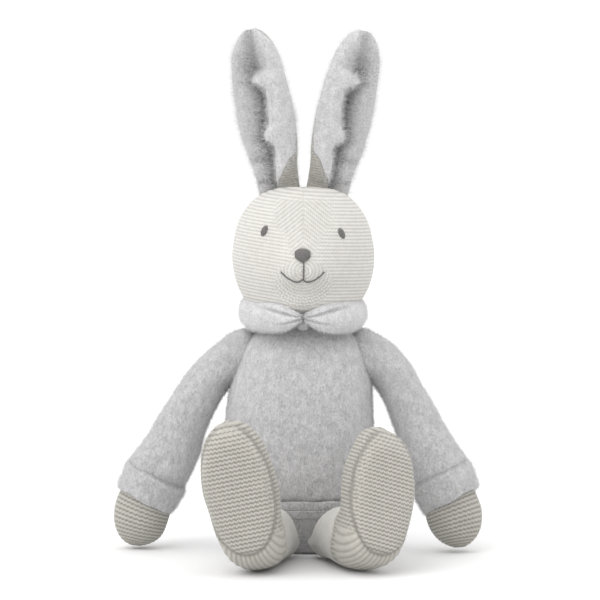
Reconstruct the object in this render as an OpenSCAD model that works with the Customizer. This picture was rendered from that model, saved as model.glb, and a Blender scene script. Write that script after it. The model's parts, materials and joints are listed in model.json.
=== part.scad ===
// Stuffed bunny rabbit, sitting, with knitted head, hands and feet and a velour sweater.
// The origin is the middle of the flat seat; +Z is up and the bunny faces -Y. Millimetres.

/* [Torso] */
// Height of the torso from the seat to the neck
torso_h = 143; // [138:1:146]
// Width of the torso at its widest
torso_w = 94; // [90:1:96]
// Depth of the torso from belly to back
torso_d = 78; // [74:1:82]
// Height of the sweater's hem above the seat
hem_z = 24; // [20:1:28]
// Height of the hem band
hem_h = 9; // [6:1:12]

/* [Head] */
// Width of the head
head_w = 87; // [82:1:90]
// Depth of the head without the snout
head_d = 78; // [74:1:82]
// Height of the head
head_h = 76; // [74:1:78]
// Height of the middle of the head above the seat
head_z = 187; // [187:1:190]
// How far the snout stands out
snout = 12; // [8:1:15]

/* [Ears] */
// Length of an ear
ear_l = 97; // [80:1:100]
// Width of an ear
ear_w = 35; // [30:1:38]
// Outward lean of the left ear
ear_lean_left = 10; // [8:1:12]
// Outward lean of the right ear
ear_lean_right = 13; // [11:1:15]

/* [Arms] */
// Radius of a sleeve at the cuff
cuff_r = 19; // [17:0.5:20]
// Radius of a sleeve at the shoulder
sleeve_r = 15; // [14:0.5:15.5]
// Forward swing of the left arm as it rests
arm_swing_left = 1; // [0:1:3]
// Forward swing of the right arm as it rests
arm_swing_right = 9; // [6:1:12]

/* [Legs] */
// Length from the hip seam to the sole
leg_l = 92; // [86:1:96]
// Radius of a leg
leg_r = 17.5; // [16:0.5:17.5]
// Height of a foot from heel to toe
foot_h = 92; // [84:1:96]
// Width of a foot
foot_w = 44; // [42:1:50]
// Turn outward of the left leg
leg_turn_left = 8; // [6:1:10]
// Turn outward of the right leg
leg_turn_right = 14; // [8:1:18]
// How far the right foot leans back at the ankle
foot_tilt_right = 24; // [18:1:28]
// How far out the right arm hangs, as a share of how far out the left one hangs
arm_in_right = 0.88; // [0.84:0.02:0.94]
// Extra turn of the left foot at the ankle
foot_turn_left = 0; // [0:1:4]
// Extra turn of the right foot at the ankle
foot_turn_right = 6; // [2:1:12]
// Outward lean of the left foot
foot_lean_left = 12; // [6:1:14]
// Outward lean of the right foot
foot_lean_right = 18; // [12:1:20]

/* [Fabric] */
// Thickness of the plush and knit covers
wall = 1.6; // [1.2:0.1:2]

/* [Hidden] */

fit = 0.35;       // gap between a cover and what is inside it
ring_n = 24;      // points round a ring
LEFT = -1;
RIGHT = 1;

plush = [0.80, 0.80, 0.82];
velour = [0.72, 0.73, 0.76];
cream = [0.84, 0.81, 0.77];
oatmeal = [0.70, 0.66, 0.61];
thread = [0.42, 0.38, 0.36];
fibre = [0.95, 0.95, 0.94];
pellets = [0.85, 0.86, 0.88];

// ---------------------------------------------------------------- points and rings

function unit(v) = v / max(norm(v), 1e-9);
function mirrored(p, side) = [side * p[0], p[1], p[2]];
function middle(ring) = [for (c = [0:2]) [for (p = ring) 1] * [for (p = ring) p[c]] / len(ring)];
function power(c, p) = sign(c) * pow(abs(c), 2 / p);

// Ring of half sizes a along e1 and b along e2 about c; p is 2 for an ellipse and more for a squarer ring
function ring(c, e1, e2, a, b, p = 2.2, n = ring_n) =
    [for (i = [0:n - 1]) let (t = 360 * i / n) c + a * power(cos(t), p) * e1 + b * power(sin(t), p) * e2];

// A grid of rings moved inward by t, along the surface's own normals
function inset(grid, t) =
    let (m = len(grid), n = len(grid[0]), flip = outward(grid))
    [for (k = [0:m - 1]) [for (i = [0:n - 1])
        let (up = grid[min(k + 1, m - 1)][i] - grid[max(k - 1, 0)][i],
             round_ = grid[k][(i + 1) % n] - grid[k][(i + n - 1) % n])
        grid[k][i] - t * flip * unit(cross(round_, up))]];

// 1 or -1: which way the rings of a grid turn
function outward(grid) =
    let (k = floor(len(grid) / 2), r = grid[k], n = len(r),
         up = grid[min(k + 1, len(grid) - 1)][0] - grid[k - 1][0], out = r[0] - r[floor(n / 2)])
    sign(cross(r[1] - r[n - 1], up) * out);

// ---------------------------------------------------------------- solids

function volume6(points, faces) =
    [for (f = faces) 1] * [for (f = faces) points[f[0]] * cross(points[f[1]], points[f[2]])];

// Polyhedron whose faces are turned the right way round
module solid(points, faces) {
    right_way = volume6(points, faces) < 0;
    polyhedron(points, right_way ? faces : [for (f = faces) [f[0], f[2], f[1]]]);
}

// Closed solid through rings: open ends are closed by a fan, or the last ring meets the first
module skin(rings, loop = false) {
    n = len(rings[0]);
    m = len(rings);
    sides = [for (k = [0:m - (loop ? 1 : 2)]) for (i = [0:n - 1])
        let (a = k * n + i, b = k * n + (i + 1) % n,
             c = ((k + 1) % m) * n + (i + 1) % n, d = ((k + 1) % m) * n + i)
        each [[a, b, c], [a, c, d]]];
    caps = loop ? [] : [for (i = [0:n - 1]) each [[m * n, (i + 1) % n, i],
        [m * n + 1, (m - 1) * n + i, (m - 1) * n + (i + 1) % n]]];
    ends = loop ? [] : [middle(rings[0]), middle(rings[m - 1])];
    solid(concat([for (r = rings) each r], ends), concat(sides, caps));
}

// Cover of a grid of rings: closed at the grid's first ring and open at its last one
module cup(grid, t = wall) {
    inner = inset(grid, t);
    m = len(grid);
    skin(concat(grid, [for (k = [m - 1:-1:0]) inner[k]]));
}

// Cover of a grid of rings, open at both ends
module tube(grid, t = wall) {
    inner = inset(grid, t);
    m = len(grid);
    skin(concat(grid, [for (k = [m - 1:-1:0]) inner[k]]), loop = true);
}

// Flat panel between two grids of points that aren't closed into rings
module panel(front, back) {
    m = len(front);
    n = len(front[0]);
    q = m * n;
    top = [for (k = [0:m - 2]) for (i = [0:n - 2])
        let (a = k * n + i) each [[a, a + 1, a + n + 1], [a, a + n + 1, a + n]]];
    under = [for (f = top) [f[0] + q, f[2] + q, f[1] + q]];
    edge = concat([for (i = [0:n - 2]) [i + 1, i]], [for (k = [0:m - 2]) [k * n, (k + 1) * n]],
                  [for (i = [0:n - 2]) [(m - 1) * n + i, (m - 1) * n + i + 1]],
                  [for (k = [0:m - 2]) [(k + 2) * n - 1, (k + 1) * n - 1]]);
    rim = [for (e = edge) each [[e[0], e[1], e[1] + q], [e[0], e[1] + q, e[0] + q]]];
    solid(concat([for (r = front) each r], [for (r = back) each r]), concat(top, under, rim));
}

// ---------------------------------------------------------------- torso

// Rows of the torso: height, half width and half depth as shares of the largest, and how far forward
TORSO_ROWS = [
    [0, 0.68, 0.66, 0], [0.025, 0.81, 0.76, 0], [0.08, 0.93, 0.86, 0], [0.17, 0.985, 0.95, -1],
    [0.235, 0.995, 0.98, -2], [0.34, 1, 1, -3], [0.47, 0.985, 0.985, -3], [0.6, 0.955, 0.94, -3],
    [0.73, 0.91, 0.87, -2], [0.82, 0.83, 0.79, -1], [0.9, 0.73, 0.68, 0], [0.96, 0.56, 0.56, 0], [1, 0.42, 0.46, 0]
];

function torso_row(r, z) = ring([0, r[3], z], [1, 0, 0], [0, 1, 0], r[1] * torso_w / 2, r[2] * torso_d / 2, 2.3, 28);
function row_at(z) =
    let (s = z / torso_h,
         k = max([for (i = [0:len(TORSO_ROWS) - 2]) TORSO_ROWS[i][0] <= s ? i : 0]),
         a = TORSO_ROWS[k], b = TORSO_ROWS[k + 1], f = (s - a[0]) / (b[0] - a[0]))
    a + f * (b - a);
function torso_span(z0, z1) =
    let (inside = [for (r = TORSO_ROWS) if (r[0] * torso_h > z0 + 1 && r[0] * torso_h < z1 - 1) r[0] * torso_h])
    [for (z = concat([z0], inside, [z1])) torso_row(row_at(z), z)];

module sweater_body() {
    color(velour) tube(torso_span(hem_z + hem_h + 0.1, torso_h));
}

module hem_band() {
    body = torso_span(hem_z, hem_z + hem_h);
    low = inset([body[0], body[len(body) - 1]], -1.2);
    inner = inset([body[0], body[len(body) - 1]], wall);
    color(velour) skin([low[0], low[1], inner[1], inner[0]], loop = true);
}

module seat_cover() {
    color(velour) cup(torso_span(0, hem_z - 0.9));
}

pellet_h = 22;    // height of the bag of pellets in the seat
module torso_stuffing() {
    color(fibre) skin(inset(torso_span(wall + pellet_h + 1, torso_h), wall + fit));
}

module pellet_bag() {
    rows = [[0, 0.55], [2, 0.66], [8, 0.76], [pellet_h - 4, 0.76], [pellet_h, 0.6]];
    color(pellets) skin([for (r = rows) ring([0, 0, wall + 0.4 + r[0]], [1, 0, 0], [0, 1, 0],
        r[1] * torso_w / 2, r[1] * torso_d / 2)]);
}

// ---------------------------------------------------------------- collar and neck

collar_z = 143.4;      // middle of the collar
collar_x = 31;       // half width of the collar's middle line
collar_y = 30;       // half depth of the collar's middle line
collar_n = 12;

// Lobe of the collar, from the knot at the front round to the back: t runs from 0 to 1
function collar_ring(side, t) =
    let (a = -90 + side * (5 + 173 * t),
         lobe = pow(sin(180 * min(1, t * 1.15 + 0.06)), 0.6),
         high = 3.6 + 6.2 * lobe, wide = 3.4 + 4.4 * lobe,
         c = [collar_x * cos(a), collar_y * sin(a) - 2 - 5 * max(0, 1 - 3 * t),
              collar_z - 1 + 2.2 * lobe - 2.5 * max(0, 1 - 3.4 * t)],
         out = unit([cos(a) / collar_x, sin(a) / collar_y, 0]))
    ring(c, out, [0, 0, 1], wide, high, 2, 12);

module collar_half(side) {
    color(plush) skin([for (k = [0:collar_n]) collar_ring(side, k / collar_n)]);
}
module collar_left() { collar_half(LEFT); }
module collar_right() { collar_half(RIGHT); }

module collar_tack() {
    front = -collar_y - 7;
    color(plush) skin([for (r = [[-2.2, 1.6], [-1.9, 3], [1.9, 3], [2.2, 1.6]])
        ring([r[0], front, collar_z - 3.2], [0, 1, 0], [0, 0, 1], r[1], r[1], 2, 10)]);
}

neck_r = 14;
module neck_core() {
    color(fibre) translate([0, 0, torso_h + 0.4])
        cylinder(h = head_z - head_h / 2 - 1.6 - torso_h - 0.4, r = neck_r, $fn = 48);
}

// ---------------------------------------------------------------- head

head_y = -2;         // middle of the head from belly to back
snout_turn = -9;     // direction of the snout, below the horizontal
chin_turn = -50;     // direction of the chin
chin = 7;            // how far the chin stands out

function side_scale(x) = pow(max(0, 1 - pow(abs(x) / (head_w / 2), 2.3)), 1 / 2.3);
function bump(t, t0, w) = exp(-pow((t - t0) / w, 2));

// Point of the head at x, in the direction t (0 is the front, 90 the top), raised by up
function head_point(x, t, up = 0) =
    let (s = side_scale(x), q = ((t + 180) % 360 + 360) % 360 - 180,
         stands = (snout * bump(q, snout_turn, 27) * bump(x, 0, 21) + chin * bump(q, chin_turn, 22) * bump(x, 0, 19)) * s,
         y = -head_d / 2 * s * power(cos(q), 2.25) - (stands + up) * cos(q),
         z = head_h / 2 * s * power(sin(q), 2.25) + (stands * 0.75 + up) * sin(q))
    [x, head_y + y, head_z + z];

head_cols = [0, 0.1, 0.24, 0.4, 0.56, 0.72, 0.85, 0.94, 0.985];
function head_grid(side) = [for (f = head_cols)
    [for (i = [0:27]) head_point(side * f * head_w / 2, 360 * i / 28)]];

module head_half(side) {
    outer = head_grid(side);
    inner = inset(outer, wall);
    level = [for (p = inner[0]) [0, p[1], p[2]]];
    m = len(outer);
    reached = concat([for (k = [m - 1:-1:0]) outer[k]], [level], [for (k = [1:m - 1]) inner[k]]);
    color(cream) skin(reached);
}
module head_cover_left() { head_half(LEFT); }
module head_cover_right() { head_half(RIGHT); }

module head_stuffing() {
    m = len(head_cols);
    left = head_grid(LEFT);
    right = head_grid(RIGHT);
    all_rings = concat([for (k = [m - 1:-1:1]) left[k]], right);
    color(fibre) skin(inset(all_rings, wall + fit));
}

// Embroidered patch on the head: centre x and direction t, half width, half height, tilt and thickness
module patch(x, t, a, b, tilt, thick) {
    per_degree = head_d / 2 * PI / 180;
    rows = [[0.5, 0.08], [1, 0.08], [1, thick * 0.45], [0.55, thick]];
    color(thread) skin([for (r = rows) [for (i = [0:11])
        let (q = 30 * i, u = r[0] * a * cos(q), v = r[0] * b * sin(q))
        head_point(x + u * cos(tilt) - v * sin(tilt), t + (u * sin(tilt) + v * cos(tilt)) / per_degree, r[1])]]);
}

eye_x = 24;
eye_turn = 16.5;
module eye_left() { patch(-eye_x, eye_turn, 1.8, 3.7, -22, 1.1); }
module eye_right() { patch(eye_x, eye_turn, 1.8, 3.7, 22, 1.1); }
module nose() { patch(0, -2.9, 4.3, 3.2, 0, 1.6); }

// Stitched mouth: a short line under the nose, then a smile to either side
module mouth() {
    smile = [for (k = [-6:6]) let (f = k / 6) [12.7 * f, -20 + 6.2 * pow(abs(f), 2.3) + 2.5 * bump(f, 0, 0.16)]];
    line = [for (k = [0:3]) [0, -8 - 2.6 * k]];
    color(thread) {
        stitch(smile);
        stitch(line);
    }
}
module stitch(route) {
    r = 0.55;
    m = len(route);
    skin([for (k = [0:m - 1])
        let (here = head_point(route[k][0], route[k][1], r + 0.12),
             up = unit(head_point(route[k][0], route[k][1], 5) - here),
             along = unit(head_point(route[min(k + 1, m - 1)][0], route[min(k + 1, m - 1)][1], 1)
                          - head_point(route[max(k - 1, 0)][0], route[max(k - 1, 0)][1], 1)))
        ring(here, unit(cross(along, up)), up, r, r, 2, 6)]);
}

// ---------------------------------------------------------------- ears

// Rows of an ear: height as a share of the length, half width as a share, half thickness
EAR_ROWS = [
    [0, 0.72, 1.7], [0.05, 0.76, 4.2], [0.13, 0.82, 5.6], [0.27, 0.92, 6.2], [0.42, 1, 6.4], [0.58, 0.99, 6.2],
    [0.73, 0.93, 5.6], [0.85, 0.81, 4.8], [0.93, 0.64, 3.8], [0.98, 0.44, 2.8], [1, 0.27, 1.9]
];
ear_x = 15.5;        // middle of an ear's seam
ear_y = 3;
ear_z = head_z + head_h / 2 - 0.2;

function lean(side) = side == LEFT ? ear_lean_left : ear_lean_right;
function in_ear(side, p) =
    let (a = lean(side), h = p[2], u = p[0])
    [side * (ear_x + u * cos(a) + h * sin(a)), ear_y + p[1], ear_z + h * cos(a) - u * sin(a)];
function ear_grid(side) = [for (r = EAR_ROWS)
    [for (p = ring([0, 0, r[0] * ear_l], [1, 0, 0], [0, 1, 0], r[1] * ear_w / 2, r[2], 2, 20)) in_ear(side, p)]];

// Front panel (the ring's second half) or back panel (its first half) of an ear
module ear_panel(side, first, t) {
    grid = ear_grid(side);
    inner = inset(grid, t);
    flat = in_ear(side, [0, 0, 0])[1];
    pick = [for (i = [0:10]) (first + i) % 20];
    panel([for (r = grid) [for (i = pick) r[i]]],
          [for (r = inner) [for (k = [0:10]) let (p = r[pick[k]]) k == 0 || k == 10 ? [p[0], flat, p[2]] : p]]);
}
module ear_front_left() { color(plush) ear_panel(LEFT, 10, wall); }
module ear_front_right() { color(plush) ear_panel(RIGHT, 10, wall); }
module ear_back_left() { color(oatmeal) ear_panel(LEFT, 0, wall * 0.8); }
module ear_back_right() { color(oatmeal) ear_panel(RIGHT, 0, wall * 0.8); }

module ear_wadding(side) {
    rows = ear_grid(side);
    color(fibre) skin(inset([for (k = [1:len(rows) - 2]) rows[k]], wall + fit));
}
module ear_wadding_left() { ear_wadding(LEFT); }
module ear_wadding_right() { ear_wadding(RIGHT); }

// Two thread tacks that hold the ear's rolled inner edge to its middle
ear_tacks = [[1, 0.61], [-0.5, 0.27]];
module tacks(side) {
    color(thread) for (tack = ear_tacks)
        translate(in_ear(side, [tack[0], -7.6, tack[1] * ear_l])) sphere(r = 1.1, $fn = 24);
}
module ear_tacks_left() { tacks(LEFT); }
module ear_tacks_right() { tacks(RIGHT); }

// ---------------------------------------------------------------- arms

shoulder = [40.8, 0, 119.5];           // middle of an armhole
armhole_tilt = 6;                      // the armhole faces outward and up by this angle
armhole = [cos(armhole_tilt), 0, sin(armhole_tilt)];

// Middle line of an arm before its swing: how far out, height, half width, and half depth
ARM_ROWS = [
    [39.5, 133.5, 0.25, 0.3], [41, 130.5, 0.5, 0.6], [43.5, 124.5, 0.75, 0.88], [47.5, 115.5, 0.86, 0.96],
    [55.5, 107.5, 0.84, 0.96], [64, 96, 0.85, 0.98], [73, 79.5, 0.95, 1], [81, 62.5, 1.1, 1.08], [91, 46.5, 1.21, 1.16],
    [92.5, 43.5, 1.214, 1.163]
];
WRIST_ROWS = [[94, 40, 0.9, 0.86], [97, 32, 0.98, 0.9], [99.5, 24, 1.05, 0.95], [101.5, 16, 1.06, 0.93],
    [103.5, 8.5, 0.86, 0.78], [104.6, 4.2, 0.6, 0.55], [105.2, 2, 0.3, 0.28]];

// Turn of p about the armhole's axis, then mirrored to its side
function swing(p, side, extra = 0) =
    let (a = -(side == LEFT ? arm_swing_left : arm_swing_right) - extra, v = p - shoulder,
         k = armhole, w = v * cos(a) + cross(k, v) * sin(a) + k * (k * v) * (1 - cos(a)))
    mirrored(shoulder + w, side);

// Keeps a point of the arm outside the plane of the armhole
function outside_armhole(p) = p + max(0, fit - (p - shoulder) * armhole) * armhole;

function arm_ring(rows, k, side) =
    let (r = rows[k], x = shoulder[0] + (r[0] - shoulder[0]) * (side == RIGHT ? arm_in_right : 1), a = rows[max(k - 1, 0)], b = rows[min(k + 1, len(rows) - 1)],
         along = unit([b[0] - a[0], 0, b[1] - a[1]]), across = [-along[2], 0, along[0]],
         s = 1 + (cuff_r / 19 - 1) * max(0, (120 - r[1]) / 80))
    [for (p = ring([x, 0, r[1]], across, [0, 1, 0], r[2] * sleeve_r * s, r[3] * sleeve_r * s, 2.1))
        r[1] > 90 ? outside_armhole(p) : p];
function arm_grid(rows, side) = [for (k = [0:len(rows) - 1]) [for (p = arm_ring(rows, k, side)) swing(p, side)]];

module sleeve(side) { color(velour) cup(arm_grid(ARM_ROWS, side)); }
module sleeve_left() { sleeve(LEFT); }
module sleeve_right() { sleeve(RIGHT); }

// Turned-back cuff: a band with a round edge round the end of the sleeve
CUFF_ROWS = [[91.6, 44.9, 1.005], [92.6, 42.7, 1.03], [94.4, 37.4, 1.03], [96.9, 32, 0.99], [97.6, 30.5, 0.93]];
module cuff(side) {
    rows = [for (r = CUFF_ROWS) [r[0], r[1], r[2] * 1.29, r[2] * 1.21]];
    outer = arm_grid(rows, side);
    within = [[91.5, 45.5, 1.245, 1.19], [93.5, 41.5, 1.245, 1.19], [94.4, 39.4, 1.12, 1.05], [97.1, 31.4, 1.05, 0.97]];
    inner = arm_grid(within, side);
    color(velour) skin(concat(outer, [for (k = [len(inner) - 1:-1:0]) inner[k]]), loop = true);
}
module cuff_left() { cuff(LEFT); }
module cuff_right() { cuff(RIGHT); }

module hand(side) {
    rows = arm_grid(WRIST_ROWS, side);
    color(oatmeal) cup([for (k = [len(rows) - 1:-1:0]) rows[k]]);
}
module hand_left() { hand(LEFT); }
module hand_right() { hand(RIGHT); }

module arm_stuffing(side) {
    upper = [for (k = [1:len(ARM_ROWS) - 2]) ARM_ROWS[k]];
    both = concat(upper, [for (k = [0:len(WRIST_ROWS) - 2]) WRIST_ROWS[k]]);
    color(fibre) skin(inset(arm_grid(both, side), wall + fit));
}
module arm_stuffing_left() { arm_stuffing(LEFT); }
module arm_stuffing_right() { arm_stuffing(RIGHT); }

// ---------------------------------------------------------------- legs

hip = [18.9, -36.5, 10];               // middle of the hip seam
ankle = 52;                            // distance of the ankle from the hip seam
sole_t = 2;
crease_v = leg_l - 42;                 // middle of the bend in front of the ankle
crease_z = 45;
crease_r = 7;

// Place of a leg's own point (u outward, v forward from the hip, z up) in the model
function leg_point(side, p) =
    let (lean = side == LEFT ? foot_lean_left : foot_lean_right,
         tilt = side == LEFT ? 0 : foot_tilt_right * min(1, max(0, (p[1] - 42) / 14)), rise = max(0, p[2] - leg_r - 0.5),
         leg_turn = side == LEFT ? leg_turn_left : leg_turn_right,
         foot_turn = side == LEFT ? foot_turn_left : foot_turn_right,
         near = min(1, max(0, (p[1] - 10) / 30)), a = lean * near, b = foot_turn * min(1, max(0, (p[1] - 30) / 26)),
         z = p[2] - leg_r - 0.5 - rise * (1 - cos(tilt)), u1 = p[0] * cos(a) + z * sin(a), z1 = z * cos(a) - p[0] * sin(a) + leg_r + 0.5,
         v = p[1] - rise * sin(tilt) - ankle, u2 = u1 * cos(b) + v * sin(b), v2 = ankle + v * cos(b) - u1 * sin(b),
         u3 = u2 * cos(leg_turn) + v2 * sin(leg_turn), v3 = v2 * cos(leg_turn) - u2 * sin(leg_turn))
    mirrored(hip + [u3, -v3, z1 - hip[2]], side);

// Ring of a leg or foot between two points of its side view, kept behind the sole and above the floor
function leg_ring(side, low, high, half_w, p = 2.3) =
    let (c = (low + high) / 2, half = (high - low) / 2)
    [for (q = ring([0, c[0], c[1]], [1, 0, 0], [0, half[0], half[1]], half_w, 1, p))
        leg_point(side, [q[0], min(q[1], leg_l - sole_t - 0.1), q[2]])];

function leg_rings(side) = concat(
    [for (r = [[0.6, 2, 0.94], [5, 5.5, 0.99], [12, 11, 1.02], [22, 16, 1], [34, 17.3, 0.99]])
        leg_ring(side, [r[0], leg_mid(r[1]) + r[1]], [r[0], leg_mid(r[1]) - r[1]], leg_r * r[2])],
    [leg_ring(side, [crease_v - 4, crease_z - crease_r - 1], [crease_v - 4, 0.4], leg_r)]);
function leg_mid(half) = max(hip[2], half + 0.4);

// Fan of rings round the bend of the ankle: angle, how far the heel reaches, half width
FAN = [[4, 1.01, 0.74], [24, 1.05, 0.8], [45, 1.14, 0.87], [66, 1.08, 0.93], [86, 1, 0.98]];
function fan_ring(side, r) =
    let (near = [crease_v + crease_r * sin(r[0]), crease_z - crease_r * cos(r[0])],
         far = [crease_v + 44 * r[1] * sin(r[0]), crease_z - 44 * r[1] * cos(r[0])])
    leg_ring(side, near, [far[0], max(0.4, far[1])], foot_w / 2 * r[2], 2.5);

// Rings of the foot above the ankle: height as a share, depth of the instep, half width, reach of the sole
TOE = [[0.62, 0.36, 1.01, 1], [0.73, 0.4, 0.97, 1], [0.83, 0.5, 0.86, 0.96], [0.91, 0.62, 0.71, 0.87], [0.97, 0.8, 0.47, 0.72], [1, 1, 0.2, 0.6]];
function toe_ring(side, r) =
    let (z = r[0] * foot_h, back = crease_v + 7 + 18 * (r[1] - 0.3), front = crease_v + 44 * r[3])
    leg_ring(side, [back, z], [max(front, back + 5), z - 2], foot_w / 2 * r[2], 2.5);

function foot_rings(side) = concat([for (r = FAN) fan_ring(side, r)], [for (r = TOE) toe_ring(side, r)]);

module leg_cover(side) { color(cream) cup(leg_rings(side)); }
module leg_cover_left() { leg_cover(LEFT); }
module leg_cover_right() { leg_cover(RIGHT); }

module foot_upper(side) {
    rows = foot_rings(side);
    color(oatmeal) cup([for (k = [len(rows) - 1:-1:0]) rows[k]]);
}
module foot_upper_left() { foot_upper(LEFT); }
module foot_upper_right() { foot_upper(RIGHT); }

// Oval sole panel on the flat front of the foot
module sole(side) {
    low = 16;
    high = foot_h - 3.5;
    mid = (low + high) / 2;
    color(oatmeal) skin([for (r = [[0, 1], [sole_t * 0.6, 1], [sole_t, 0.93]])
        [for (p = ring([0, leg_l - sole_t + 0.55 + r[0], mid], [1, 0, 0], [0, 0, 1],
            r[1] * (foot_w / 2 - 2.8), r[1] * (high - low) / 2, 2.2, 32)) leg_point(side, p)]]);
}
module sole_left() { sole(LEFT); }
module sole_right() { sole(RIGHT); }

module leg_stuffing(side) {
    rings = concat(leg_rings(side), foot_rings(side));
    color(fibre) skin(inset([for (k = [1:len(rings) - 2]) rings[k]], wall + fit));
}
module leg_stuffing_left() { leg_stuffing(LEFT); }
module leg_stuffing_right() { leg_stuffing(RIGHT); }

// ---------------------------------------------------------------- nodes

sweater_body();
hem_band();
seat_cover();
torso_stuffing();
pellet_bag();
collar_left();
collar_right();
collar_tack();
neck_core();
head_cover_left();
head_cover_right();
head_stuffing();
eye_left();
eye_right();
nose();
mouth();
ear_front_left();
ear_back_left();
ear_wadding_left();
ear_tacks_left();
ear_front_right();
ear_back_right();
ear_wadding_right();
ear_tacks_right();
sleeve_left();
cuff_left();
hand_left();
arm_stuffing_left();
sleeve_right();
cuff_right();
hand_right();
arm_stuffing_right();
leg_cover_left();
foot_upper_left();
sole_left();
leg_stuffing_left();
leg_cover_right();
foot_upper_right();
sole_right();
leg_stuffing_right();
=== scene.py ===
"""Looks of a sitting stuffed bunny rabbit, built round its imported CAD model.

Shapes are worked out in millimetres, as grids of points, and become meshes in metres.
The bunny faces -Y, +Z is up, and side is -1 for its pieces at -X and 1 for those at +X.
"""

import json
import math

import bpy
import numpy as np
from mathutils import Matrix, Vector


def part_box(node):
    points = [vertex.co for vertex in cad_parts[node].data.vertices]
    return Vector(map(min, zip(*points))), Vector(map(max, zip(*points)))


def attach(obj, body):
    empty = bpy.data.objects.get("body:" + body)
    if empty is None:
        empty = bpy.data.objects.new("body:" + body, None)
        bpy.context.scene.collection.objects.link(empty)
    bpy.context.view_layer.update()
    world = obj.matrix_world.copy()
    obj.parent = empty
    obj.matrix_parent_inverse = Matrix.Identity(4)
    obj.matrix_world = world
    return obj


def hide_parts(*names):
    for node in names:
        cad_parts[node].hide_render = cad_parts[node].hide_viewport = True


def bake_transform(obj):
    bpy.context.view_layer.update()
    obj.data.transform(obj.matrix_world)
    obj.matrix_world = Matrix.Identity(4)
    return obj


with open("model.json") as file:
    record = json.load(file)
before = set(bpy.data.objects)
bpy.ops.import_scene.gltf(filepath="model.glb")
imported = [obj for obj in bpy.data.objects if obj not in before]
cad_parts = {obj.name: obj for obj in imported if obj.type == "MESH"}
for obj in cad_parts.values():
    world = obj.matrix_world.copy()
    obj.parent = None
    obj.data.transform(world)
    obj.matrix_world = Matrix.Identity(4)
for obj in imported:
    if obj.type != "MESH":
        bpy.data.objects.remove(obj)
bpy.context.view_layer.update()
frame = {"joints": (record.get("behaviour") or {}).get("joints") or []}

MM = 0.001
TAU = 2 * math.pi
SIDES = {"left": -1, "right": 1}
JOINTS = {j["name"]: j for j in frame["joints"]}


# ---- numbers and noise


def curve(keys, t):
    """Smooth curve through rows (t, value, value ...), read at the values t."""
    keys = np.array(keys, float)
    x, y = keys[:, 0], keys[:, 1:]
    t = np.clip(np.asarray(t, float), x[0], x[-1])
    slope = np.gradient(y, x, axis=0)
    i = np.clip(np.searchsorted(x, t, "right") - 1, 0, len(x) - 2)
    h = (x[i + 1] - x[i])[..., None]
    s = (t - x[i])[..., None] / h
    a, b = y[i], y[i + 1]
    return (
        (2 * s**3 - 3 * s**2 + 1) * a
        + (s**3 - 2 * s**2 + s) * h * slope[i]
        + (3 * s**2 - 2 * s**3) * b
        + (s**3 - s**2) * h * slope[i + 1]
    )


def value(keys, t):
    """One smooth value at each t, from rows (t, value)."""
    return curve(keys, t)[..., 0]


def bump(x, middle, width):
    """Rounded bump of height 1 at middle."""
    return np.exp(-(((x - middle) / width) ** 2))


def step(x, low, high):
    """0 below low, 1 above high, and smooth between them."""
    s = np.clip((x - low) / (high - low), 0, 1)
    return s * s * (3 - 2 * s)


def power(c, p):
    """Turns a sine or cosine into a superellipse's coordinate; p of 2 is a circle."""
    return np.sign(c) * np.abs(c) ** (2 / p)


def noise(points, size, seed=0):
    """Smooth noise from -1 to 1, with lumps about size millimetres wide."""
    p = np.asarray(points) / size + 100.0
    cell = np.floor(p).astype(np.int64)
    f = p - cell
    f = f * f * (3 - 2 * f)
    total = 0.0
    for corner in [(i, j, k) for i in (0, 1) for j in (0, 1) for k in (0, 1)]:
        c = cell + np.array(corner)
        h = c[..., 0] * 374761393 + c[..., 1] * 668265263 + c[..., 2] * 1103515245
        h = (h + seed * 974634777) & 0xFFFFFFFF
        h = ((h ^ (h >> 13)) * 1274126177) & 0xFFFFFFFF
        h = (h ^ (h >> 16)) & 0xFFFF
        weight = np.prod(np.where(np.array(corner) == 1, f, 1 - f), axis=-1)
        total = total + weight * (h / 32767.5 - 1)
    return total


def running(gaps):
    """Running total of the gaps, from 0."""
    return np.concatenate([[0], np.cumsum(gaps)])


def unit(v):
    """Vectors of length 1 along v."""
    return v / np.maximum(np.linalg.norm(v, axis=-1, keepdims=True), 1e-9)


def box_of(*nodes):
    """Lowest and highest corner of several CAD nodes, in millimetres."""
    boxes = [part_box(n) for n in nodes]
    low = np.min([b[0] for b in boxes], axis=0) / MM
    high = np.max([b[1] for b in boxes], axis=0) / MM
    return low, high


# ---- grids and meshes


def ring(centre, e1, e2, a, b, p, n):
    """n points of a superellipse of half sizes a along e1 and b along e2."""
    t = np.arange(n) * TAU / n
    return (
        np.asarray(centre)
        + a * power(np.cos(t), p)[:, None] * np.asarray(e1)
        + b * power(np.sin(t), p)[:, None] * np.asarray(e2)
    )


def normals(grid, wrap=True):
    """Outward unit normals of a grid of points (rows, points, 3)."""
    if wrap:
        around = np.roll(grid, -1, 1) - np.roll(grid, 1, 1)
    else:
        around = np.gradient(grid, axis=1)
    along = np.gradient(grid, axis=0)
    n = unit(np.cross(around, along))
    if wrap:
        out = np.sum(n * (grid - grid.mean(1, keepdims=True)))
        n = n if out > 0 else -n
    return n


def displaced(grid, height, wrap=True):
    """Moves a grid's points out along their normals by height."""
    return grid + normals(grid, wrap) * height[..., None]


def resample(rows, count):
    """Grid of count rings, evenly spaced along a smooth curve through the given rings."""
    rows = np.asarray(rows, float)
    m, n = rows.shape[:2]
    gap = np.linalg.norm(np.diff(rows, axis=0), axis=2).mean(1)
    t = running(gap)
    keys = np.concatenate([t[:, None], rows.reshape(m, -1)], axis=1)
    return curve(keys, np.linspace(0, t[-1], count)).reshape(count, n, 3)


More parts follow.
